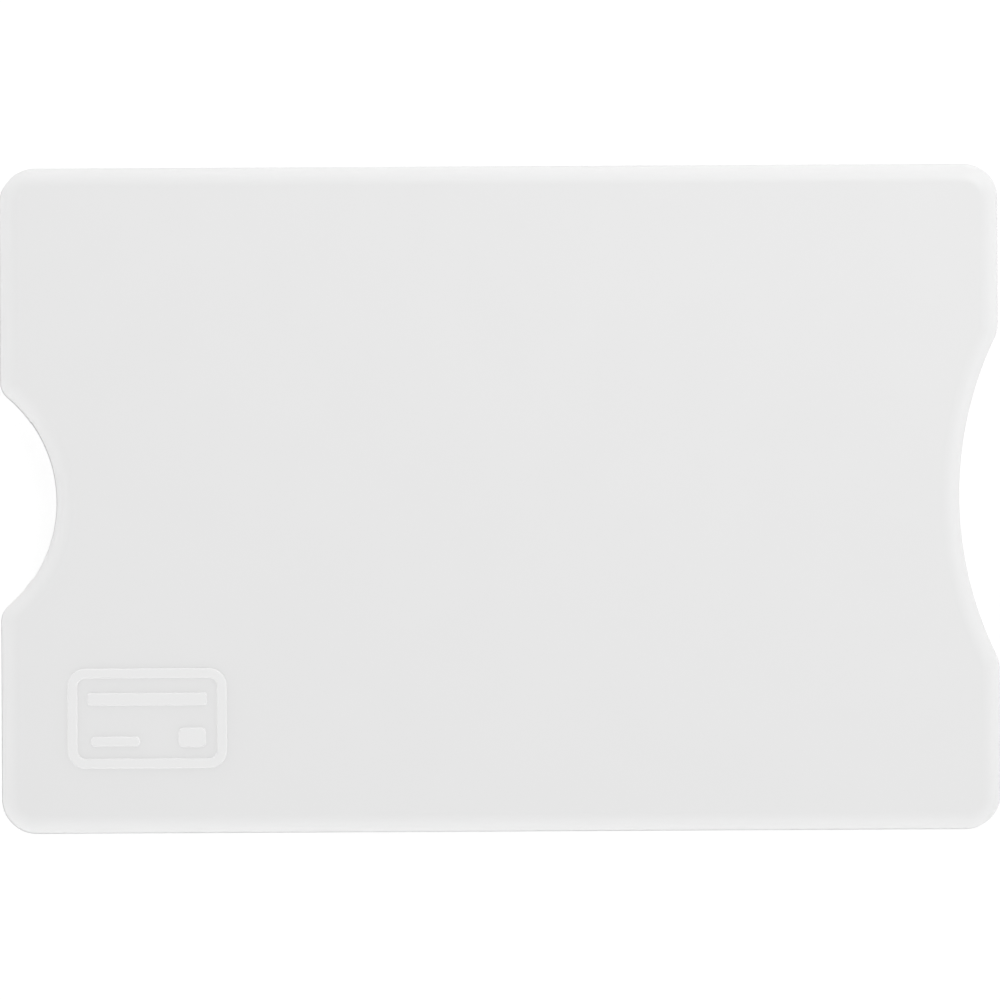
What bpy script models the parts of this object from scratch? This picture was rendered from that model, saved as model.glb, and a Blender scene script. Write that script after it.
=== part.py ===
# Slim hard card holder that shields one contactless card.
# It lies on its back: +X is the open mouth, -X the thumb notch, +Z the front face.
# The origin is the middle of the back face. Units are metres.
import math

import bmesh
import bpy

# The card that the holder is made for
CARD_LENGTH = 0.0856
CARD_WIDTH = 0.05398
CARD_THICKNESS = 0.00076

# Room round the card
CARD_SIDE_CLEARANCE = 0.00031
CARD_FACE_CLEARANCE = 0.00022
MOUTH_MARGIN = 0.0026

# Walls of the two shells
SKIN = 0.0014
RAIL_WIDTH = 0.003
STOP_WIDTH = 0.0028
SEAM_GAP = 0.00008

# Outline
CORNER_RADIUS = 0.0032
THUMB_RADIUS = 0.0124
THUMB_DEPTH = 0.00505
MOUTH_RADIUS = 0.0331
MOUTH_DEPTH = 0.0036
MOUTH_FILLET = 0.0028
EDGE_ROUND = 0.0018
FILLET_FLAT = 0.0002

# Card slot
SLOT_CORNER = 0.001
LEAD_IN = 0.0004
SIDE_LEAD_IN = 0.00025

# Shielding sheet and its adhesive film, laid in a recess of each shell
SHIELD_THICKNESS = 0.0001
ADHESIVE_THICKNESS = 0.00005
LAYER_GAP = 0.00004
SHIELD_LAND = 0.0013
SHIELD_MOUTH_LAND = 0.003
SHIELD_CORNER = 0.0015
SHIELD_FIT = 0.00015
ADHESIVE_MARGIN = 0.0005

# Tongue and groove that seat the shells on each other
TONGUE_WIDTH = 0.0006
TONGUE_HEIGHT = 0.0004
TONGUE_CLEARANCE = 0.0001
TONGUE_END_LAND = 0.0022

# Ribs beside the recess that hold the card lightly near the mouth
RIB_WIDTH = 0.0005
RIB_HEIGHT = 0.00014
RIB_LENGTH = 0.014
RIB_SETBACK = 0.006

# Cutters run past the walls that they cut by this much
OVERRUN = 0.0003
WELD_DISTANCE = 0.000001

# Steps of the round stretches
CORNER_STEPS = 10
NOTCH_STEPS = 40
FILLET_STEPS = 6
LEAD_IN_NOTCH_STEPS = 27
LEAD_IN_FILLET_STEPS = 5
EDGE_STEPS = 8
END_STEPS = 6

# Worked out from the values above
LENGTH = STOP_WIDTH + CARD_LENGTH + MOUTH_MARGIN
SLOT_WIDTH = CARD_WIDTH + 2 * CARD_SIDE_CLEARANCE
SLOT_HEIGHT = CARD_THICKNESS + 2 * CARD_FACE_CLEARANCE
WIDTH = SLOT_WIDTH + 2 * RAIL_WIDTH
HEIGHT = SLOT_HEIGHT + 2 * SKIN
SEAM_Z = HEIGHT / 2
BACK_X = -LENGTH / 2
FRONT_X = LENGTH / 2
STOP_X = BACK_X + STOP_WIDTH
THUMB_CENTRE = BACK_X + THUMB_DEPTH - THUMB_RADIUS
MOUTH_CENTRE = FRONT_X - MOUTH_DEPTH + MOUTH_RADIUS
THUMB_FILLET = EDGE_ROUND + FILLET_FLAT
RECESS_DEPTH = ADHESIVE_THICKNESS + SHIELD_THICKNESS + 3 * LAYER_GAP


def arc(centre_x, centre_y, radius, start, end, steps):
    """Points along an arc, both ends included, from one angle in degrees to another."""
    points = []
    for step in range(steps + 1):
        angle = math.radians(start + (end - start) * step / steps)
        points.append((centre_x + radius * math.cos(angle), centre_y + radius * math.sin(angle)))
    return points


def short_side(line_x, centre_x, radius, fillet, bend_steps=FILLET_STEPS, notch_steps=NOTCH_STEPS):
    """A short side from +Y to -Y: straight, a fillet, the round notch, a fillet, straight."""
    out = math.copysign(1, centre_x - line_x)
    bend_x = line_x - out * fillet
    reach = abs(centre_x - bend_x)
    bend_y = math.sqrt((radius + fillet) ** 2 - reach ** 2)
    turn = math.degrees(math.atan2(bend_y, reach))
    if out > 0:
        upper = arc(bend_x, bend_y, fillet, 0, -turn, bend_steps)
        notch = arc(centre_x, 0, radius, 180 - turn, 180 + turn, notch_steps)
        lower = arc(bend_x, -bend_y, fillet, turn, 0, bend_steps)
    else:
        upper = arc(bend_x, bend_y, fillet, 180, 180 + turn, bend_steps)
        notch = arc(centre_x, 0, radius, turn, -turn, notch_steps)
        lower = arc(bend_x, -bend_y, fillet, 180 - turn, 180, bend_steps)
    return upper + notch[1:-1] + lower


def holder_outline(back_x, front_x, half_width, corner, thumb_radius, thumb_fillet, mouth_radius, mouth_fillet):
    """Rounded rectangle with the thumb notch in its back end and the shallow arc in its mouth."""
    back = short_side(back_x, THUMB_CENTRE, thumb_radius, thumb_fillet)
    front = short_side(front_x, MOUTH_CENTRE, mouth_radius, mouth_fillet)
    low = -half_width + corner
    high = half_width - corner
    return (
        arc(back_x + corner, high, corner, 90, 180, CORNER_STEPS)
        + back
        + arc(back_x + corner, low, corner, 180, 270, CORNER_STEPS)
        + arc(front_x - corner, low, corner, 270, 360, CORNER_STEPS)
        + list(reversed(front))
        + arc(front_x - corner, high, corner, 0, 90, CORNER_STEPS)
    )


def shell_outline():
    return holder_outline(
        BACK_X, FRONT_X, WIDTH / 2, CORNER_RADIUS, THUMB_RADIUS, THUMB_FILLET, MOUTH_RADIUS, MOUTH_FILLET
    )


def layer_outline(inset):
    """Outline of the recess, or of a sheet that lies in it, drawn in by the inset all round."""
    return holder_outline(
        STOP_X + SHIELD_LAND + inset,
        FRONT_X - SHIELD_MOUTH_LAND - inset,
        SLOT_WIDTH / 2 - SHIELD_LAND - inset,
        SHIELD_CORNER,
        THUMB_RADIUS + SHIELD_LAND + inset,
        SHIELD_CORNER,
        MOUTH_RADIUS + SHIELD_MOUTH_LAND + inset,
        MOUTH_FILLET,
    )


def slot_outline():
    """Card slot: round corners at the stop, and open past the mouth."""
    half = SLOT_WIDTH / 2
    end_x = FRONT_X + OVERRUN
    return (
        arc(STOP_X + SLOT_CORNER, half - SLOT_CORNER, SLOT_CORNER, 90, 180, END_STEPS)
        + arc(STOP_X + SLOT_CORNER, -half + SLOT_CORNER, SLOT_CORNER, 180, 270, END_STEPS)
        + [(end_x, -half), (end_x, half)]
    )


def lead_in_outline():
    """Funnel at the mouth in plan: its inner side follows the arc, and its ends flare outwards."""
    inset = LEAD_IN + OVERRUN
    inner = short_side(
        FRONT_X - inset,
        MOUTH_CENTRE,
        MOUTH_RADIUS + inset,
        MOUTH_FILLET,
        LEAD_IN_FILLET_STEPS,
        LEAD_IN_NOTCH_STEPS,
    )
    inner_y = SLOT_WIDTH / 2 + SIDE_LEAD_IN - inset
    outer_y = SLOT_WIDTH / 2 + SIDE_LEAD_IN + OVERRUN
    outer_x = FRONT_X + OVERRUN
    return (
        [(outer_x, outer_y), (FRONT_X - inset, inner_y)]
        + inner
        + [(FRONT_X - inset, -inner_y), (outer_x, -outer_y)]
    )


def seam_outline(width):
    """Strip along the middle of one rail and round into the stop, with round ends."""
    half = width / 2
    rail_y = WIDTH / 2 - RAIL_WIDTH / 2
    stop_x = BACK_X + STOP_WIDTH / 2
    bend = CORNER_RADIUS - RAIL_WIDTH / 2
    notch_y = math.sqrt(THUMB_RADIUS ** 2 - (stop_x - THUMB_CENTRE) ** 2)
    end_x = FRONT_X - CORNER_RADIUS
    end_y = notch_y + TONGUE_END_LAND
    return (
        arc(end_x, rail_y, half, -90, 90, END_STEPS)
        + arc(stop_x + bend, rail_y - bend, bend + half, 90, 180, CORNER_STEPS)
        + arc(stop_x, end_y, half, 180, 360, END_STEPS)
        + arc(stop_x + bend, rail_y - bend, bend - half, 180, 90, CORNER_STEPS)
    )


def rib_outline():
    """Slender strip with round ends, on the land beside the recess."""
    half = RIB_WIDTH / 2
    middle_y = SLOT_WIDTH / 2 - SHIELD_LAND / 2
    end_x = FRONT_X - RIB_SETBACK - half
    start_x = end_x - RIB_LENGTH + RIB_WIDTH
    return arc(end_x, middle_y, half, -90, 90, END_STEPS) + arc(start_x, middle_y, half, 90, 270, END_STEPS)


def flipped(outline):
    """The same outline on the other side of the holder's middle line."""
    return [(x, -y) for x, y in reversed(outline)]


def plate(name, outline, low, high, collection):
    """Flat plate with this outline between two heights, as a closed mesh with one face on each side."""
    curve = bpy.data.curves.new(name + "_outline", "CURVE")
    curve.dimensions = "2D"
    curve.fill_mode = "BOTH"
    curve.extrude = (high - low) / 2
    spline = curve.splines.new("POLY")
    spline.points.add(len(outline) - 1)
    for point, (x, y) in zip(spline.points, outline):
        point.co = (x, y, 0, 1)
    spline.use_cyclic_u = True
    drawing = bpy.data.objects.new(name + "_outline", curve)
    drawing.location.z = (low + high) / 2
    collection.objects.link(drawing)
    bpy.context.view_layer.update()
    evaluated = drawing.evaluated_get(bpy.context.evaluated_depsgraph_get())
    mesh = bpy.data.meshes.new_from_object(evaluated)
    mesh.name = name
    made = bpy.data.objects.new(name, mesh)
    made.matrix_world = drawing.matrix_world
    collection.objects.link(made)
    bpy.data.objects.remove(drawing)
    shape = bmesh.new()
    shape.from_mesh(mesh)
    bmesh.ops.remove_doubles(shape, verts=shape.verts, dist=WELD_DISTANCE)
    bmesh.ops.dissolve_limit(shape, angle_limit=math.radians(0.1), verts=shape.verts, edges=shape.edges)
    bmesh.ops.recalc_face_normals(shape, faces=shape.faces)
    shape.to_mesh(mesh)
    shape.free()
    return made


def round_edges(target, width, segments, chosen):
    """Bevel on the level edges whose two ends the chosen test accepts."""
    mesh = target.data
    weights = mesh.attributes.new("bevel_weight_edge", "FLOAT", "EDGE")
    for edge in mesh.edges:
        first, second = (mesh.vertices[index].co for index in edge.vertices)
        level = abs(first.z - second.z) < WELD_DISTANCE
        weights.data[edge.index].value = 1 if level and chosen(first) and chosen(second) else 0
    bevel = target.modifiers.new("edge_round", "BEVEL")
    bevel.limit_method = "WEIGHT"
    bevel.width = width
    bevel.segments = segments
    bevel.use_clamp_overlap = False


def combine(target, other, operation):
    boolean = target.modifiers.new(other.name, "BOOLEAN")
    boolean.object = other
    boolean.operation = operation
    boolean.solver = "EXACT"


def hide_tool(tool):
    tool.hide_render = True
    tool.display_type = "WIRE"


def finish_material(name, colour, roughness, metallic):
    material = bpy.data.materials.new(name)
    material.use_nodes = True
    principled = material.node_tree.nodes["Principled BSDF"]
    principled.inputs["Base Color"].default_value = (*colour, 1)
    principled.inputs["Roughness"].default_value = roughness
    principled.inputs["Metallic"].default_value = metallic
    return material


def make_slot_tools(tools):
    """The card slot and its funnel are cut alike from both shells."""
    slot = plate("card_slot", slot_outline(), SEAM_Z - SLOT_HEIGHT / 2, SEAM_Z + SLOT_HEIGHT / 2, tools)
    reach = SLOT_HEIGHT / 2 + LEAD_IN + OVERRUN
    funnel = plate("mouth_lead_in", lead_in_outline(), SEAM_Z - reach, SEAM_Z + reach, tools)
    inner_x = FRONT_X + OVERRUN / 2
    round_edges(funnel, LEAD_IN + 2 * OVERRUN, 1, lambda end: end.x < inner_x)
    return [slot, funnel]


def make_shell(name, side, slot_tools, parts, tools, material):
    """One half shell. Side is 1 for the front shell and -1 for the back one."""
    seam = SEAM_Z + side * SEAM_GAP / 2
    outer = SEAM_Z + side * HEIGHT / 2
    shell = plate(name, shell_outline(), min(seam, outer), max(seam, outer), parts)
    round_edges(shell, EDGE_ROUND, EDGE_STEPS, lambda end: end.z * side > 0)
    for tool in slot_tools:
        combine(shell, tool, "DIFFERENCE")
    inner = SEAM_Z + side * SLOT_HEIGHT / 2
    floor = inner + side * RECESS_DEPTH
    past = inner - side * OVERRUN
    recess = plate(name + "_recess", layer_outline(0), min(floor, past), max(floor, past), tools)
    combine(shell, recess, "DIFFERENCE")
    rib_top = inner - side * RIB_HEIGHT
    rib_root = inner + side * OVERRUN
    for label, outline in (("left", rib_outline()), ("right", flipped(rib_outline()))):
        rib = plate(f"{name}_{label}_rib", outline, min(rib_top, rib_root), max(rib_top, rib_root), tools)
        combine(shell, rib, "UNION")
    shell.data.materials.append(material)
    return shell


def add_tongues(shell, tools):
    """Tongues on the front shell's rails and stops, pointing at the back shell."""
    seam = SEAM_Z + SEAM_GAP / 2
    outline = seam_outline(TONGUE_WIDTH)
    for label, strip in (("left", outline), ("right", flipped(outline))):
        tongue = plate(f"{label}_tongue", strip, seam - TONGUE_HEIGHT, seam + OVERRUN, tools)
        combine(shell, tongue, "UNION")


def cut_grooves(shell, tools):
    """Grooves in the back shell's rails and stops, which take the tongues."""
    seam = SEAM_Z - SEAM_GAP / 2
    depth = TONGUE_HEIGHT - SEAM_GAP + TONGUE_CLEARANCE
    outline = seam_outline(TONGUE_WIDTH + 2 * TONGUE_CLEARANCE)
    for label, strip in (("left", outline), ("right", flipped(outline))):
        groove = plate(f"{label}_groove", strip, seam - depth, seam + OVERRUN, tools)
        combine(shell, groove, "DIFFERENCE")


def make_sheet(name, side, inset, start, thickness, parts, material):
    """Thin sheet in a recess. Start is its depth below the shell's inner face."""
    near = SEAM_Z + side * (SLOT_HEIGHT / 2 + start)
    far = near + side * thickness
    sheet = plate(name, layer_outline(inset), min(near, far), max(near, far), parts)
    sheet.data.materials.append(material)
    return sheet


def smooth(target):
    target.data.shade_smooth()
    target.data.set_sharp_from_angle(angle=math.radians(30))


def main():
    for old in list(bpy.data.objects):
        bpy.data.objects.remove(old)
    parts = bpy.data.collections.new("card_holder")
    tools = bpy.data.collections.new("cutters")
    bpy.context.scene.collection.children.link(parts)
    bpy.context.scene.collection.children.link(tools)

    plastic = finish_material("white_polystyrene", (0.86, 0.86, 0.86), 0.38, 0.0)
    aluminium = finish_material("aluminium_sheet", (0.8, 0.8, 0.81), 0.35, 1.0)
    film = finish_material("adhesive_film", (0.85, 0.84, 0.78), 0.5, 0.0)

    slot_tools = make_slot_tools(tools)
    front = make_shell("front_shell", 1, slot_tools, parts, tools, plastic)
    rear = make_shell("rear_shell", -1, slot_tools, parts, tools, plastic)
    add_tongues(front, tools)
    cut_grooves(rear, tools)
    smooth(front)
    smooth(rear)

    for label, side in (("front", 1), ("rear", -1)):
        shield_depth = LAYER_GAP
        adhesive_depth = shield_depth + SHIELD_THICKNESS + LAYER_GAP
        make_sheet(f"{label}_shield", side, SHIELD_FIT, shield_depth, SHIELD_THICKNESS, parts, aluminium)
        make_sheet(
            f"{label}_adhesive",
            side,
            SHIELD_FIT + ADHESIVE_MARGIN,
            adhesive_depth,
            ADHESIVE_THICKNESS,
            parts,
            film,
        )
    for tool in tools.objects:
        hide_tool(tool)


main()
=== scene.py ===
# Empty hard card holder lying on its back: finer shells, finishes, light and camera on the CAD
# frame. +X is the open mouth, -X the thumb notch, +Z the front face.
import math

import bpy
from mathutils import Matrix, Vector


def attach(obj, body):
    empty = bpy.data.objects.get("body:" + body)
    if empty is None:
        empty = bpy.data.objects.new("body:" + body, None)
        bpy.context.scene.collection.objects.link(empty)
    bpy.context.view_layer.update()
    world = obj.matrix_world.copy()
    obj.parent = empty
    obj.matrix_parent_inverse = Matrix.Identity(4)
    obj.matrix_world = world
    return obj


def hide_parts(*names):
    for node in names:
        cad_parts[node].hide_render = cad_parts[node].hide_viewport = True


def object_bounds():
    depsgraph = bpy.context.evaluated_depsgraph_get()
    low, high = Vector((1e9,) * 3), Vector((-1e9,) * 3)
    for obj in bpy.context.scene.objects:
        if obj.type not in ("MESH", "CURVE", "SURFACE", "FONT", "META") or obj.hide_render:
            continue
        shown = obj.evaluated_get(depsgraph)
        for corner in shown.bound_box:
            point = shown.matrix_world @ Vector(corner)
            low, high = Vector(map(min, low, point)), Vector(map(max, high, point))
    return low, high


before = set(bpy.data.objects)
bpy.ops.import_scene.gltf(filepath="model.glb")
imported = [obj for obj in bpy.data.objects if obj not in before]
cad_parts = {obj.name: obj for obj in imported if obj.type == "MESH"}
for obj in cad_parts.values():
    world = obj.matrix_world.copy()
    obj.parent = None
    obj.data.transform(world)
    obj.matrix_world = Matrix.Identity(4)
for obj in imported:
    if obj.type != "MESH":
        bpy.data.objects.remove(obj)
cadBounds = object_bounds()
print("frame loaded:", ", ".join(sorted(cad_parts)))

mm = 0.001
tiny = 0.0005 * mm

holder = {
    "backX": -45.5 * mm,
    "frontX": 45.5 * mm,
    "halfWidth": 30.3 * mm,
    "height": cadBounds[1].z,
    "seamZ": cadBounds[1].z / 2,
    "cornerRadius": 3.2 * mm,
    "thumbX": -52.85 * mm,
    "thumbRadius": 12.4 * mm,
    "thumbFillet": 2.0 * mm,
    "mouthX": 75.0 * mm,
    "mouthRadius": 33.1 * mm,
    "mouthFillet": 2.8 * mm,
    "cornerSteps": 24,
    "thumbSteps": 84,
    "mouthSteps": 80,
    "filletSteps": 14,
}


# Modelling steps that every piece shares

def deselectAll():
    active = bpy.context.view_layer.objects.active
    if active and active.mode != "OBJECT":
        bpy.ops.object.mode_set(mode="OBJECT")
    bpy.ops.object.select_all(action="DESELECT")


def workOn(piece):
    deselectAll()
    piece.select_set(True)
    bpy.context.view_layer.objects.active = piece


def pointOn(arc, degrees):
    x, y, radius = arc[:3]
    angle = math.radians(degrees)
    return Vector((x + radius * math.cos(angle), y + radius * math.sin(angle), 0))


def corner(x, y):
    # a sharp corner is an arc with no radius and no steps
    return (x, y, 0, 0, 0, 0)


def backwards(arcs):
    turned = []
    for x, y, radius, start, end, steps in reversed(arcs):
        turned.append((x, y, radius, end, start, steps))
    return turned


def otherSide(arcs):
    return [(x, -y, radius, -start, -end, steps) for x, y, radius, start, end, steps in arcs]


def extrudeBy(x, y, z):
    bpy.ops.mesh.extrude_region_move(TRANSFORM_OT_translate={"value": (x, y, z)})


def drawOutline(name, arcs, z):
    # one point is extruded along the straight stretches and spun round the bends
    deselectAll()
    first = place = pointOn(arcs[0], arcs[0][3])
    bpy.ops.mesh.primitive_plane_add(size=mm, location=(first.x, first.y, z))
    piece = bpy.context.object
    piece.name = name
    bpy.ops.object.transform_apply(location=True)
    bpy.ops.object.mode_set(mode="EDIT")
    bpy.ops.mesh.select_mode(type="VERT")
    bpy.ops.mesh.select_all(action="SELECT")
    bpy.ops.mesh.merge(type="CENTER")
    for arc in arcs:
        x, y, radius, start, end, steps = arc
        step = pointOn(arc, start) - place
        if step.length > tiny:
            extrudeBy(step.x, step.y, 0)
        if steps:
            # a positive angle spins clockwise
            turn = math.radians(start - end)
            bpy.ops.mesh.spin(steps=steps, angle=turn, center=(x, y, z), axis=(0, 0, 1))
        place = pointOn(arc, end)
    step = first - place
    if step.length > tiny:
        extrudeBy(step.x, step.y, 0)
    bpy.ops.mesh.select_all(action="SELECT")
    bpy.ops.mesh.remove_doubles(threshold=tiny)
    bpy.ops.mesh.edge_face_add()
    return piece


def makeFacesPointOut():
    bpy.ops.mesh.select_all(action="SELECT")
    bpy.ops.mesh.normals_make_consistent(inside=False)


def makePlate(name, arcs, lowZ, highZ):
    piece = drawOutline(name, arcs, lowZ)
    extrudeBy(0, 0, highZ - lowZ)
    makeFacesPointOut()
    bpy.ops.object.mode_set(mode="OBJECT")
    return piece


def pickEdges(piece, wanted):
    workOn(piece)
    bpy.ops.object.mode_set(mode="EDIT")
    bpy.ops.mesh.select_mode(type="EDGE")
    bpy.ops.mesh.select_all(action="DESELECT")
    bpy.ops.object.mode_set(mode="OBJECT")
    points = piece.data.vertices
    for edge in piece.data.edges:
        first, second = (points[index].co for index in edge.vertices)
        edge.select = wanted(first) and wanted(second)
    bpy.ops.object.mode_set(mode="EDIT")


def bevelEdges(piece, wanted, offset, segments, profile=0.5):
    pickEdges(piece, wanted)
    bpy.ops.mesh.bevel(
        offset_type="OFFSET",
        offset=offset,
        segments=segments,
        profile=profile,
        affect="EDGES",
        clamp_overlap=False,
    )
    bpy.ops.object.mode_set(mode="OBJECT")


def applyModifier(piece, modifier):
    workOn(piece)
    bpy.ops.object.modifier_apply(modifier=modifier.name)


def combine(piece, tool, operation):
    change = piece.modifiers.new(tool.name, "BOOLEAN")
    change.object = tool
    change.operation = operation
    change.solver = "EXACT"
    applyModifier(piece, change)
    bpy.data.objects.remove(tool)


def atHeight(z):
    return lambda point: abs(point.z - z) < tiny


# Outlines, each a list of arcs: x, y, radius, start, end, steps

def shortSide(lineX, centreX, radius, fillet, notchSteps, filletSteps):
    # from +Y to -Y: a fillet, the round notch and a fillet
    out = 1 if centreX > lineX else -1
    bendX = lineX - out * fillet
    reach = abs(centreX - bendX)
    bendY = math.sqrt((radius + fillet) ** 2 - reach ** 2)
    turn = math.degrees(math.atan2(bendY, reach))
    if out > 0:
        return [
            (bendX, bendY, fillet, 0, -turn, filletSteps),
            (centreX, 0, radius, 180 - turn, 180 + turn, notchSteps),
            (bendX, -bendY, fillet, turn, 0, filletSteps),
        ]
    return [
        (bendX, bendY, fillet, 180, 180 + turn, filletSteps),
        (centreX, 0, radius, turn, -turn, notchSteps),
        (bendX, -bendY, fillet, 180 - turn, 180, filletSteps),
    ]


def notchedOutline(backX, frontX, halfWidth, radius, thumbGrow, thumbFillet, mouthGrow):
    # a rounded rectangle with the thumb notch in its back end and the shallow arc in its mouth
    steps = holder["cornerSteps"]
    back = shortSide(
        backX,
        holder["thumbX"],
        holder["thumbRadius"] + thumbGrow,
        thumbFillet,
        holder["thumbSteps"],
        holder["filletSteps"],
    )
    front = shortSide(
        frontX,
        holder["mouthX"],
        holder["mouthRadius"] + mouthGrow,
        holder["mouthFillet"],
        holder["mouthSteps"],
        holder["filletSteps"],
    )
    return (
        [(backX + radius, halfWidth - radius, radius, 90, 180, steps)]
        + back
        + [(backX + radius, -halfWidth + radius, radius, 180, 270, steps)]
        + [(frontX - radius, -halfWidth + radius, radius, 270, 360, steps)]
        + backwards(front)
        + [(frontX - radius, halfWidth - radius, radius, 0, 90, steps)]
    )


def shellOutline():
    return notchedOutline(
        holder["backX"],
        holder["frontX"],
        holder["halfWidth"],
        holder["cornerRadius"],
        0,
        holder["thumbFillet"],
        0,
    )


slot = {
    "stopX": -42.7 * mm,
    "halfWidth": 27.3 * mm,
    "halfHeight": 0.6 * mm,
    "cornerRadius": 1.0 * mm,
    "cornerSteps": 12,
    "mouthLip": 0.3 * mm,
    "mouthLipSteps": 8,
    "mouthArcSteps": 61,
    "mouthFilletSteps": 11,
    "sideFlare": 0.25 * mm,
    "notchLip": 0.03 * mm,
    "notchLipSteps": 4,
    "notchHalfTurn": 60,  # degrees
    "notchArcSteps": 120,
    "stopLedge": 0.02 * mm,  # keeps the notch's lip clear of the stop
    "lipProfile": 0.086,  # a hollow quarter circle
    "past": 0.3 * mm,  # how far the cutting tools reach past the mouth
}


def makeSlotTool():
    stopX, half, radius = slot["stopX"], slot["halfWidth"], slot["cornerRadius"]
    endX = holder["frontX"] + slot["past"]
    arcs = [
        (stopX + radius, half - radius, radius, 90, 180, slot["cornerSteps"]),
        (stopX + radius, -half + radius, radius, 180, 270, slot["cornerSteps"]),
        corner(endX, -half),
        corner(endX, half),
    ]
    middle, reach = holder["seamZ"], slot["halfHeight"]
    return makePlate("slotTool", arcs, middle - reach, middle + reach)


def hollowEdges(name, arcs, wanted, lip, steps):
    # a plate as high as the slot and its lips, with a hollow bevel along the wanted edges
    middle, reach = holder["seamZ"], slot["halfHeight"] + lip
    tool = makePlate(name, arcs, middle - reach, middle + reach)
    for z in (middle - reach, middle + reach):
        bevelEdges(
            tool,
            lambda point: abs(point.z - z) < tiny and wanted(point),
            lip,
            steps,
            slot["lipProfile"],
        )
    return tool


def makeLipTool():
    # a trumpet along the mouth's arc: its hollow edge leaves a round lip on each shell
    lip = slot["mouthLip"]
    innerX = holder["frontX"] - lip
    outerX = holder["frontX"] + slot["past"]
    inner = shortSide(
        innerX,
        holder["mouthX"],
        holder["mouthRadius"] + lip,
        holder["mouthFillet"],
        slot["mouthArcSteps"],
        slot["mouthFilletSteps"],
    )
    innerY = slot["halfWidth"] + slot["sideFlare"] - lip
    outerY = slot["halfWidth"] + slot["sideFlare"] + slot["past"]
    arcs = [corner(outerX, outerY), corner(innerX, innerY)]
    arcs += inner
    arcs += [corner(innerX, -innerY), corner(outerX, -outerY)]
    endX = holder["frontX"] + slot["past"] / 2
    steps = slot["mouthLipSteps"]
    return hollowEdges("lipTool", arcs, lambda point: point.x < endX, lip, steps)


def makeNotchTool():
    # a finer lip where the slot opens into the thumb notch, cut off at the stop
    middleX = holder["thumbX"]
    lip, steps = slot["notchLip"], slot["notchLipSteps"]
    radius, halfTurn = holder["thumbRadius"] + lip, slot["notchHalfTurn"]
    arcs = [
        (middleX, 0, radius, -halfTurn, halfTurn, slot["notchArcSteps"]),
        corner(middleX + radius / 2, 0),
    ]
    startX = slot["stopX"] - 2 * lip
    tool = hollowEdges("notchTool", arcs, lambda point: point.x > startX, lip, steps)
    workOn(tool)
    bpy.ops.object.mode_set(mode="EDIT")
    bpy.ops.mesh.select_all(action="SELECT")
    bpy.ops.mesh.bisect(
        plane_co=(slot["stopX"] + slot["stopLedge"], 0, 0),
        plane_no=(1, 0, 0),
        use_fill=True,
        clear_inner=True,
        threshold=tiny / 10,
    )
    makeFacesPointOut()
    bpy.ops.object.mode_set(mode="OBJECT")
    return tool


shell = {
    "edgeRound": 1.8 * mm,
    "edgeSteps": 18,
    "seamGap": 0.08 * mm,
    "seamRound": 0.03 * mm,
    "seamSteps": 3,
    "recessDepth": 0.27 * mm,
    "recessLand": 1.3 * mm,
    "recessMouthLand": 3.0 * mm,
    "recessCorner": 1.5 * mm,
    "ribWidth": 0.5 * mm,
    "ribHeight": 0.14 * mm,
    "ribLength": 14.0 * mm,
    "ribSetback": 6.0 * mm,
    "ribRound": 0.08 * mm,
    "ribEndSteps": 12,
    "railWidth": 3.0 * mm,
    "tongueWidth": 0.6 * mm,
    "tongueHeight": 0.4 * mm,
    "tongueRoom": 0.2 * mm,
    "tongueRound": 0.1 * mm,
    "tongueEndLand": 2.2 * mm,
    "tongueEndSteps": 10,
    "tongueBendSteps": 16,
    "smallRoundSteps": 4,
    "root": 0.3 * mm,  # how far ribs and tongues reach into the wall
    "offsetX": 0.045 * mm,
    "offsetY": 0.04 * mm,
    "smoothBelow": 32,  # degrees
    "flatFaceWeight": 100,
}


def recessOutline():
    land = shell["recessLand"]
    return notchedOutline(
        slot["stopX"] + land,
        holder["frontX"] - shell["recessMouthLand"],
        slot["halfWidth"] - land,
        shell["recessCorner"],
        land,
        shell["recessCorner"],
        shell["recessMouthLand"],
    )


def ribOutline():
    half = shell["ribWidth"] / 2
    middleY = slot["halfWidth"] - shell["recessLand"] / 2
    endX = holder["frontX"] - shell["ribSetback"] - half
    startX = endX - shell["ribLength"] + shell["ribWidth"]
    steps = shell["ribEndSteps"]
    return [(endX, middleY, half, -90, 90, steps), (startX, middleY, half, 90, 270, steps)]


def seamStrip(stripWidth):
    # outline of a tongue or its groove, along one rail and round into the stop
    half = stripWidth / 2
    railY = holder["halfWidth"] - shell["railWidth"] / 2
    stopX = (holder["backX"] + slot["stopX"]) / 2
    bend = holder["cornerRadius"] - shell["railWidth"] / 2
    notchY = math.sqrt(holder["thumbRadius"] ** 2 - (stopX - holder["thumbX"]) ** 2)
    endX = holder["frontX"] - holder["cornerRadius"]
    endY = notchY + shell["tongueEndLand"]
    endSteps, bendSteps = shell["tongueEndSteps"], shell["tongueBendSteps"]
    return [
        (endX, railY, half, -90, 90, endSteps),
        (stopX + bend, railY - bend, bend + half, 90, 180, bendSteps),
        (stopX, endY, half, 180, 360, endSteps),
        (stopX + bend, railY - bend, bend - half, 180, 90, bendSteps),
    ]


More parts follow.
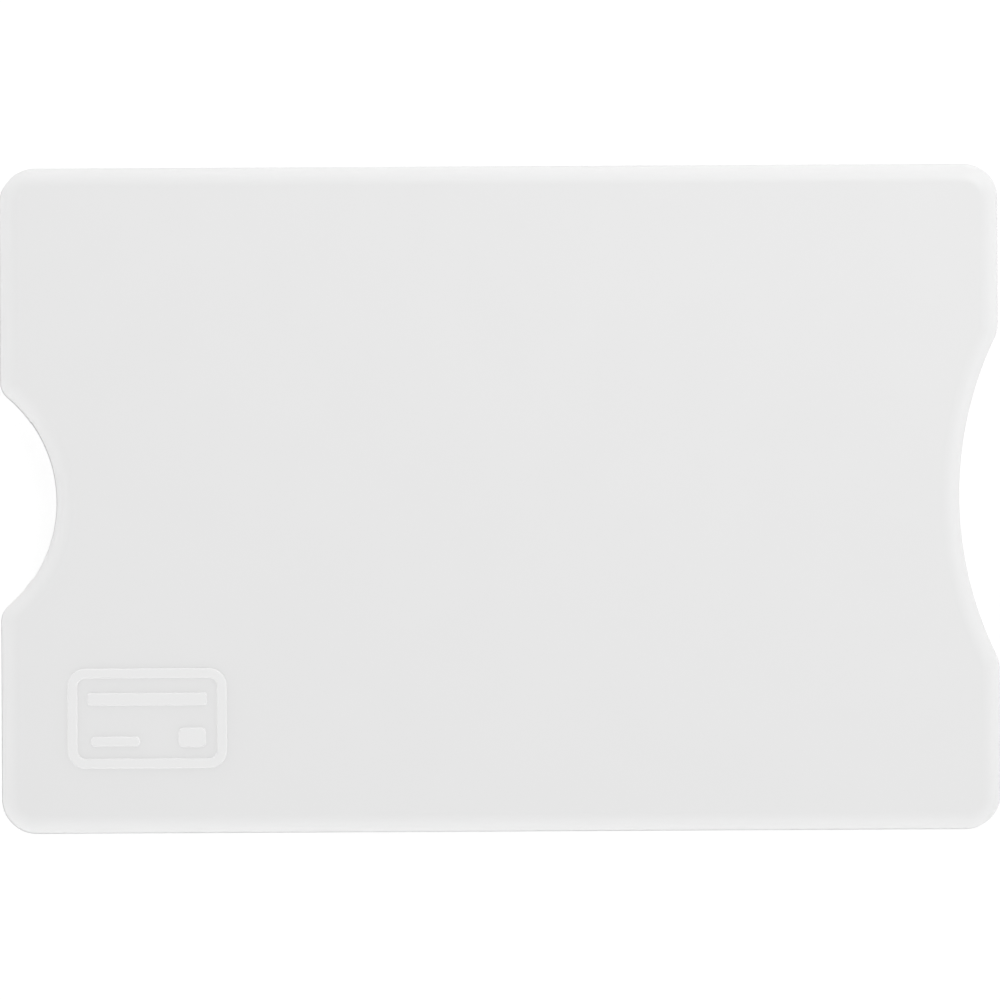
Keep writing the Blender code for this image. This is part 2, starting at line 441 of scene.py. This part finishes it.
def makeShell(name, side):
    # side is 1 for the front shell and -1 for the rear one
    middle = holder["seamZ"]
    seam = middle + side * shell["seamGap"] / 2
    outer = middle + side * holder["height"] / 2
    inner = middle + side * slot["halfHeight"]
    piece = makePlate(name, shellOutline(), min(seam, outer), max(seam, outer))
    bevelEdges(piece, atHeight(outer), shell["edgeRound"], shell["edgeSteps"])
    bevelEdges(piece, atHeight(seam), shell["seamRound"], shell["seamSteps"])
    combine(piece, makeSlotTool(), "DIFFERENCE")
    combine(piece, makeLipTool(), "DIFFERENCE")
    combine(piece, makeNotchTool(), "DIFFERENCE")

    floor = inner + side * shell["recessDepth"]
    past = inner - side * shell["root"]
    recess = makePlate("recessTool", recessOutline(), min(floor, past), max(floor, past))
    combine(piece, recess, "DIFFERENCE")

    ribTop = inner - side * shell["ribHeight"]
    ribRoot = inner + side * shell["root"]
    for arcs in (ribOutline(), otherSide(ribOutline())):
        rib = makePlate("rib", arcs, min(ribTop, ribRoot), max(ribTop, ribRoot))
        bevelEdges(rib, atHeight(ribTop), shell["ribRound"], shell["smallRoundSteps"])
        combine(piece, rib, "UNION")
    print(name, "cut to shape,", len(piece.data.polygons), "faces")
    return piece


def addTongues(piece):
    seam = holder["seamZ"] + shell["seamGap"] / 2
    tip = seam - shell["tongueHeight"]
    strip = seamStrip(shell["tongueWidth"])
    for arcs in (strip, otherSide(strip)):
        tongue = makePlate("tongue", arcs, tip, seam + shell["root"])
        bevelEdges(tongue, atHeight(tip), shell["tongueRound"], shell["smallRoundSteps"])
        combine(piece, tongue, "UNION")


def cutGrooves(piece):
    seam = holder["seamZ"] - shell["seamGap"] / 2
    depth = shell["tongueHeight"] - shell["seamGap"] + shell["tongueRoom"]
    strip = seamStrip(shell["tongueWidth"] + 2 * shell["tongueRoom"])
    for arcs in (strip, otherSide(strip)):
        groove = makePlate("grooveTool", arcs, seam - depth, seam + shell["root"])
        combine(piece, groove, "DIFFERENCE")


# Raised sign on the front face: a plain card with its stripe, chip and line

sign = {
    "x": -32.25 * mm,
    "y": -19.85 * mm,
    "width": 14.6 * mm,
    "height": 9.2 * mm,
    "cornerRadius": 1.7 * mm,
    "cornerSteps": 16,
    "stroke": 1.0 * mm,
    "sink": 0.005 * mm,
    "root": 0.2 * mm,
    # in and up, mm
    "slope": [(0.045, 0.015), (0.03, 0.03), (0.025, 0.035), (0.03, 0.025), (0.045, 0.015)],
    # x, y, width, height and corner radius, mm from the middle of the card
    "bars": [
        (0.0, 1.75, 11.0, 1.25, 0.3),
        (-2.9, -2.1, 4.6, 1.0, 0.45),
        (4.1, -1.75, 2.6, 1.9, 0.5),
    ],
    "barCornerSteps": 10,
}


def roundedBox(x, y, boxWidth, boxHeight, radius, steps):
    right, top = x + boxWidth / 2 - radius, y + boxHeight / 2 - radius
    left, bottom = x - boxWidth / 2 + radius, y - boxHeight / 2 + radius
    return [
        (right, top, radius, 0, 90, steps),
        (left, top, radius, 90, 180, steps),
        (left, bottom, radius, 180, 270, steps),
        (right, bottom, radius, 270, 360, steps),
    ]


def raiseSlope():
    # the stroke's side rises in a soft S from the face to its flat top
    for inward, upward in sign["slope"]:
        bpy.ops.mesh.inset(
            thickness=inward * mm,
            depth=upward * mm,
            use_boundary=True,
            use_even_offset=True,
        )


def pickTop(piece, z):
    # the faces at this height that look up
    bpy.ops.object.mode_set(mode="EDIT")
    bpy.ops.mesh.select_mode(type="FACE")
    bpy.ops.mesh.select_all(action="DESELECT")
    bpy.ops.object.mode_set(mode="OBJECT")
    for face in piece.data.polygons:
        face.select = abs(face.center.z - z) < tiny and face.normal.z > 0.9
    bpy.ops.object.mode_set(mode="EDIT")


def makeSign():
    strokes = []
    footZ = holder["height"] - sign["sink"]
    lowZ = footZ - sign["root"]
    cardArcs = roundedBox(
        sign["x"],
        sign["y"],
        sign["width"],
        sign["height"],
        sign["cornerRadius"],
        sign["cornerSteps"],
    )
    card = drawOutline("signCard", cardArcs, lowZ)
    bpy.ops.mesh.inset(thickness=sign["stroke"], use_even_offset=True)
    bpy.ops.mesh.delete(type="FACE")
    bpy.ops.mesh.select_all(action="SELECT")
    extrudeBy(0, 0, footZ - lowZ)
    strokes.append(card)
    makeFacesPointOut()
    bpy.ops.object.mode_set(mode="OBJECT")
    for x, y, barWidth, barHeight, radius in sign["bars"]:
        arcs = roundedBox(
            sign["x"] + x * mm,
            sign["y"] + y * mm,
            barWidth * mm,
            barHeight * mm,
            radius * mm,
            sign["barCornerSteps"],
        )
        strokes.append(makePlate("signBar", arcs, lowZ, footZ))
    for stroke in strokes:
        workOn(stroke)
        pickTop(stroke, footZ)
        raiseSlope()
        bpy.ops.object.mode_set(mode="OBJECT")
    return strokes


def finishShell(piece, side):
    # the halves are joined a little off each other, which leaves a hairline ledge at the seam
    workOn(piece)
    piece.location = (side * shell["offsetX"], side * shell["offsetY"], 0)
    bpy.ops.object.transform_apply(location=True)
    bpy.ops.object.mode_set(mode="EDIT")
    bpy.ops.mesh.select_all(action="SELECT")
    bpy.ops.mesh.remove_doubles(threshold=tiny)
    bpy.ops.object.mode_set(mode="OBJECT")
    bpy.ops.object.shade_smooth_by_angle(angle=math.radians(shell["smoothBelow"]))
    even = piece.modifiers.new("evenNormals", "WEIGHTED_NORMAL")
    even.keep_sharp = True
    even.weight = shell["flatFaceWeight"]
    applyModifier(piece, even)


frontShell = makeShell("frontShell", 1)
addTongues(frontShell)
for stroke in makeSign():
    combine(frontShell, stroke, "UNION")
finishShell(frontShell, 1)

rearShell = makeShell("rearShell", -1)
cutGrooves(rearShell)
finishShell(rearShell, -1)
faceCounts = [len(piece.data.polygons) for piece in (frontShell, rearShell)]
print("shells finished:", faceCounts[0], "and", faceCounts[1], "faces")

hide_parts("front_shell")
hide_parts("rear_shell")
for piece in (frontShell, rearShell):
    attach(piece, "root")


# Finishes

def newGroup(name, inputs, outputs):
    group = bpy.data.node_groups.new(name, "ShaderNodeTree")
    kind = "NodeSocketFloat"
    for label, value in inputs:
        socket = group.interface.new_socket(name=label, in_out="INPUT", socket_type=kind)
        socket.default_value = value
    for label in outputs:
        group.interface.new_socket(name=label, in_out="OUTPUT", socket_type=kind)
    return group, group.nodes.new("NodeGroupInput"), group.nodes.new("NodeGroupOutput")


def mathNode(tree, operation, first, second=None, third=None):
    node = tree.nodes.new("ShaderNodeMath")
    node.operation = operation
    for index, value in enumerate((first, second, third)):
        if isinstance(value, bpy.types.NodeSocket):
            tree.links.new(value, node.inputs[index])
        elif value is not None:
            node.inputs[index].default_value = value
    return node.outputs[0]


skin = {
    "scales": {"Grain Scale": 2600, "Wave Scale": 90, "Mottle Scale": 160},
    "grainDetail": 3,
    "grainRoughness": 0.45,
    "waveDetail": 1,
    "waveShare": 3.0,
    "mottleDetail": 4,
}


def makeMouldedSkin():
    # orange peel of a polished mould, slow waves where the plastic shrank, and a soft mottle
    inputs = list(skin["scales"].items())
    group, given, result = newGroup("mouldedSkin", inputs, ["Height", "Mottle"])
    links = group.links
    place = group.nodes.new("ShaderNodeTexCoord").outputs["Object"]
    grain = group.nodes.new("ShaderNodeTexNoise")
    grain.inputs["Detail"].default_value = skin["grainDetail"]
    grain.inputs["Roughness"].default_value = skin["grainRoughness"]
    wave = group.nodes.new("ShaderNodeTexNoise")
    wave.inputs["Detail"].default_value = skin["waveDetail"]
    mottle = group.nodes.new("ShaderNodeTexNoise")
    mottle.inputs["Detail"].default_value = skin["mottleDetail"]
    for node, label in ((grain, "Grain Scale"), (wave, "Wave Scale"), (mottle, "Mottle Scale")):
        links.new(place, node.inputs["Vector"])
        links.new(given.outputs[label], node.inputs["Scale"])
    waves, grains = wave.outputs["Fac"], grain.outputs["Fac"]
    height = mathNode(group, "MULTIPLY_ADD", waves, skin["waveShare"], grains)
    links.new(height, result.inputs["Height"])
    links.new(mottle.outputs["Fac"], result.inputs["Mottle"])
    return group


mouldedSkin = makeMouldedSkin()


def newMaterial(name, settings):
    material = bpy.data.materials.new(name)
    material.use_nodes = True
    tree = material.node_tree
    surface = tree.nodes["Principled BSDF"]
    for label, value in settings.items():
        surface.inputs[label].default_value = value
    return material, tree, surface


def mapRange(tree, value, taken, given, smooth=False):
    node = tree.nodes.new("ShaderNodeMapRange")
    node.interpolation_type = "SMOOTHSTEP" if smooth else "LINEAR"
    tree.links.new(value, node.inputs["Value"])
    for label, number in zip(("From Min", "From Max", "To Min", "To Max"), (*taken, *given)):
        node.inputs[label].default_value = number
    return node.outputs["Result"]


def mixColour(tree, factor, first, second):
    node = tree.nodes.new("ShaderNodeMix")
    node.data_type = "RGBA"
    tree.links.new(factor, node.inputs["Factor"])
    # the node has sockets of the same names for numbers and vectors too
    sockets = {entry.name: entry for entry in node.inputs if entry.type == "RGBA"}
    for label, value in (("A", first), ("B", second)):
        socket = sockets[label]
        if isinstance(value, bpy.types.NodeSocket):
            tree.links.new(value, socket)
        else:
            socket.default_value = (*value, 1)
    return [entry for entry in node.outputs if entry.type == "RGBA"][0]


def addSkin(tree, scales):
    node = tree.nodes.new("ShaderNodeGroup")
    node.node_tree = mouldedSkin
    for label, value in scales.items():
        node.inputs[label].default_value = value
    return node.outputs["Height"], node.outputs["Mottle"]


def addBump(tree, surface, height, settings):
    bump = tree.nodes.new("ShaderNodeBump")
    bump.inputs["Strength"].default_value = settings["bump"]
    bump.inputs["Distance"].default_value = settings["bumpDistance"]
    tree.links.new(height, bump.inputs["Height"])
    tree.links.new(bump.outputs["Normal"], surface.inputs["Normal"])


plastic = {
    "refraction": 1.55,
    "colour": (0.800, 0.800, 0.800),
    "darker": (0.796, 0.796, 0.796),
    "mottleEnds": (0.35, 0.65),
    # painted highlight: the sign's flat tops get a lighter white than the face, standing in for
    # the light that falls on them
    "paintedTopHighlight": (0.834, 0.834, 0.834),
    "paintedHighlightHeight": (0.095 * mm, 0.114 * mm),  # above the front face: the sign's flat tops
    "roughness": (0.36, 0.44),
    "roughnessEnds": (0.3, 0.7),
    "bump": 0.25,
    "bumpDistance": 0.004 * mm,
}


def makePlastic():
    material, tree, surface = newMaterial("whitePolystyrene", {"IOR": plastic["refraction"]})
    height, mottle = addSkin(tree, skin["scales"])
    mottled = mapRange(tree, mottle, plastic["mottleEnds"], (0, 1))
    body = mixColour(tree, mottled, plastic["darker"], plastic["colour"])
    place = tree.nodes.new("ShaderNodeTexCoord").outputs["Object"]
    split = tree.nodes.new("ShaderNodeSeparateXYZ")
    tree.links.new(place, split.inputs[0])
    # painted highlight: the colour turns lighter at the height of the sign's flat tops
    ends = [holder["height"] + above for above in plastic["paintedHighlightHeight"]]
    paintedHighlightMask = mapRange(tree, split.outputs["Z"], ends, (0, 1), smooth=True)
    colour = mixColour(tree, paintedHighlightMask, body, plastic["paintedTopHighlight"])
    tree.links.new(colour, surface.inputs["Base Color"])
    roughness = mapRange(tree, mottle, plastic["roughnessEnds"], plastic["roughness"])
    tree.links.new(roughness, surface.inputs["Roughness"])
    addBump(tree, surface, height, plastic)
    return material


aluminium = {
    "darker": (0.82, 0.82, 0.83),
    "lighter": (0.92, 0.92, 0.93),
    "lineScale": (60, 5000, 5000),  # drawn out along the rolling direction, X
    "lineDetail": 5,
    "roughness": (0.45, 0.6),
    "roughnessEnds": (0.3, 0.7),
    "bump": 0.3,
    "bumpDistance": 0.002 * mm,
}


def makeAluminium():
    material, tree, surface = newMaterial("rolledAluminium", {"Metallic": 1.0})
    place = tree.nodes.new("ShaderNodeTexCoord").outputs["Object"]
    stretch = tree.nodes.new("ShaderNodeMapping")
    stretch.inputs["Scale"].default_value = aluminium["lineScale"]
    tree.links.new(place, stretch.inputs["Vector"])
    noise = tree.nodes.new("ShaderNodeTexNoise")
    noise.inputs["Scale"].default_value = 1
    noise.inputs["Detail"].default_value = aluminium["lineDetail"]
    tree.links.new(stretch.outputs["Vector"], noise.inputs["Vector"])
    lines = noise.outputs["Fac"]
    colour = mixColour(tree, lines, aluminium["darker"], aluminium["lighter"])
    tree.links.new(colour, surface.inputs["Base Color"])
    roughness = mapRange(tree, lines, aluminium["roughnessEnds"], aluminium["roughness"])
    tree.links.new(roughness, surface.inputs["Roughness"])
    addBump(tree, surface, lines, aluminium)
    return material


film = {
    "refraction": 1.47,
    "scales": {"Grain Scale": 900, "Wave Scale": 200, "Mottle Scale": 420},
    "darker": (0.78, 0.76, 0.68),
    "lighter": (0.88, 0.87, 0.82),
    "roughness": (0.42, 0.6),
    "roughnessEnds": (0.3, 0.7),
    "bump": 0.4,
    "bumpDistance": 0.006 * mm,
}


def makeFilm():
    material, tree, surface = newMaterial("adhesiveFilm", {"IOR": film["refraction"]})
    height, mottle = addSkin(tree, film["scales"])
    colour = mixColour(tree, mottle, film["darker"], film["lighter"])
    tree.links.new(colour, surface.inputs["Base Color"])
    roughness = mapRange(tree, mottle, film["roughnessEnds"], film["roughness"])
    tree.links.new(roughness, surface.inputs["Roughness"])
    addBump(tree, surface, height, film)
    return material


def giveMaterial(piece, material):
    piece.data.materials.clear()
    piece.data.materials.append(material)


whitePolystyrene = makePlastic()
rolledAluminium = makeAluminium()
adhesiveFilm = makeFilm()
for piece in (frontShell, rearShell):
    giveMaterial(piece, whitePolystyrene)
for label in ("front", "rear"):
    sheet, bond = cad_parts[label + "_shield"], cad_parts[label + "_adhesive"]
    giveMaterial(sheet, rolledAluminium)
    giveMaterial(bond, adhesiveFilm)
print("finishes given")


# Floor, light and camera

studio = {
    "floorSize": 6.0,
    "floorZ": -0.02 * mm,
    "floorColour": (0.62, 0.62, 0.62, 1),
    "seenGlow": 0.82,
    "seenShade": (0.25, 0.25, 0.25, 1),
    "mirroredGlow": 0.08,
    "mirroredShade": (0.90, 0.90, 0.90, 1),
    # light on matt surfaces: all round, low down, from one side, and low down on both Y sides
    "level": 0.484,
    "horizon": 1.94,
    "towardsY": -0.205,
    "towardsX": -0.08,
    "sideBands": 0.56,
    "keyPlace": (0.15, 0.24, 0.283),
    "keySize": 0.24,
    "keyPower": 0.36,
    "lens": 400,
    "sensor": 36,
    "roll": -0.3,  # degrees
    "framedWidth": 91.2 * mm,
    "aim": (0.016 * mm, -0.094 * mm),
    "clipNear": 0.01,
    "clipFar": 20,
}


def shadedGlow(tree, strength, shade):
    # white where the light falls freely, and darker in the object's shadow
    glow = tree.nodes.new("ShaderNodeEmission")
    glow.inputs["Strength"].default_value = strength
    diffuse = tree.nodes.new("ShaderNodeBsdfDiffuse")
    diffuse.inputs["Color"].default_value = shade
    both = tree.nodes.new("ShaderNodeAddShader")
    tree.links.new(diffuse.outputs[0], both.inputs[0])
    tree.links.new(glow.outputs[0], both.inputs[1])
    return both.outputs[0]


def mixShader(tree, factor, first, second):
    mix = tree.nodes.new("ShaderNodeMixShader")
    for source, socket in zip((factor, first, second), mix.inputs):
        tree.links.new(source, socket)
    return mix.outputs[0]


def rayKinds(tree):
    ray = tree.nodes.new("ShaderNodeLightPath").outputs
    bounced = mathNode(tree, "MAXIMUM", ray["Is Glossy Ray"], ray["Is Transmission Ray"])
    return ray["Is Camera Ray"], bounced


def makeFloor():
    deselectAll()
    place = (0, 0, studio["floorZ"])
    bpy.ops.mesh.primitive_plane_add(size=studio["floorSize"], location=place)
    floor = bpy.context.object
    floor.name = "floor"
    bpy.ops.object.transform_apply(location=True)
    material = bpy.data.materials.new("whitePaper")
    material.use_nodes = True
    tree = material.node_tree
    tree.nodes.clear()
    paper = tree.nodes.new("ShaderNodeBsdfDiffuse")
    paper.inputs["Color"].default_value = studio["floorColour"]
    seen = shadedGlow(tree, studio["seenGlow"], studio["seenShade"])
    mirrored = shadedGlow(tree, studio["mirroredGlow"], studio["mirroredShade"])
    straight, bounced = rayKinds(tree)
    surface = mixShader(tree, bounced, paper.outputs[0], mirrored)
    surface = mixShader(tree, straight, surface, seen)
    output = tree.nodes.new("ShaderNodeOutputMaterial")
    tree.links.new(surface, output.inputs["Surface"])
    giveMaterial(floor, material)


def makeWorld():
    world = bpy.data.worlds.new("studio")
    world.use_nodes = True
    bpy.context.scene.world = world
    tree = world.node_tree
    background = tree.nodes["Background"]
    direction = tree.nodes.new("ShaderNodeTexCoord").outputs["Generated"]
    split = tree.nodes.new("ShaderNodeSeparateXYZ")
    tree.links.new(direction, split.inputs[0])
    x, y, z = split.outputs
    rise = mathNode(tree, "SUBTRACT", 1.0, mathNode(tree, "ABSOLUTE", z))
    rise = mathNode(tree, "MULTIPLY", rise, rise)
    level = mathNode(tree, "MULTIPLY_ADD", rise, studio["horizon"], studio["level"])
    level = mathNode(tree, "MULTIPLY_ADD", y, studio["towardsY"], level)
    level = mathNode(tree, "MULTIPLY_ADD", x, studio["towardsX"], level)
    sides = mathNode(tree, "MULTIPLY", mathNode(tree, "MULTIPLY", y, y), rise)
    level = mathNode(tree, "MULTIPLY_ADD", sides, studio["sideBands"], level)
    # the eye and mirrors meet plain white, and only matt surfaces are lit by the bands
    seen = mathNode(tree, "MAXIMUM", *rayKinds(tree))
    lit = mathNode(tree, "MULTIPLY", mathNode(tree, "SUBTRACT", 1.0, seen), level)
    strength = mathNode(tree, "ADD", lit, seen)
    tree.links.new(strength, background.inputs["Strength"])
    background.inputs["Color"].default_value = (1, 1, 1, 1)


def makeKey():
    data = bpy.data.lights.new("key", "AREA")
    data.shape = "DISK"
    data.size = studio["keySize"]
    data.energy = studio["keyPower"]
    key = bpy.data.objects.new("key", data)
    bpy.context.scene.collection.objects.link(key)
    key.location = studio["keyPlace"]
    key.rotation_euler = Vector(studio["keyPlace"]).to_track_quat("Z", "Y").to_euler()
    key.visible_camera = False


def makeCamera():
    data = bpy.data.cameras.new("camera")
    data.lens = studio["lens"]
    data.sensor_width = studio["sensor"]
    camera = bpy.data.objects.new("camera", data)
    bpy.context.scene.collection.objects.link(camera)
    away = studio["framedWidth"] * studio["lens"] / studio["sensor"]
    camera.location = (*studio["aim"], holder["seamZ"] + away)
    camera.rotation_euler = (0, 0, math.radians(studio["roll"]))
    data.clip_start = studio["clipNear"]
    data.clip_end = studio["clipFar"]
    bpy.context.scene.camera = camera


makeFloor()
makeWorld()
makeKey()
makeCamera()
bpy.context.scene.view_settings.view_transform = "Standard"
print("floor, light and camera set")
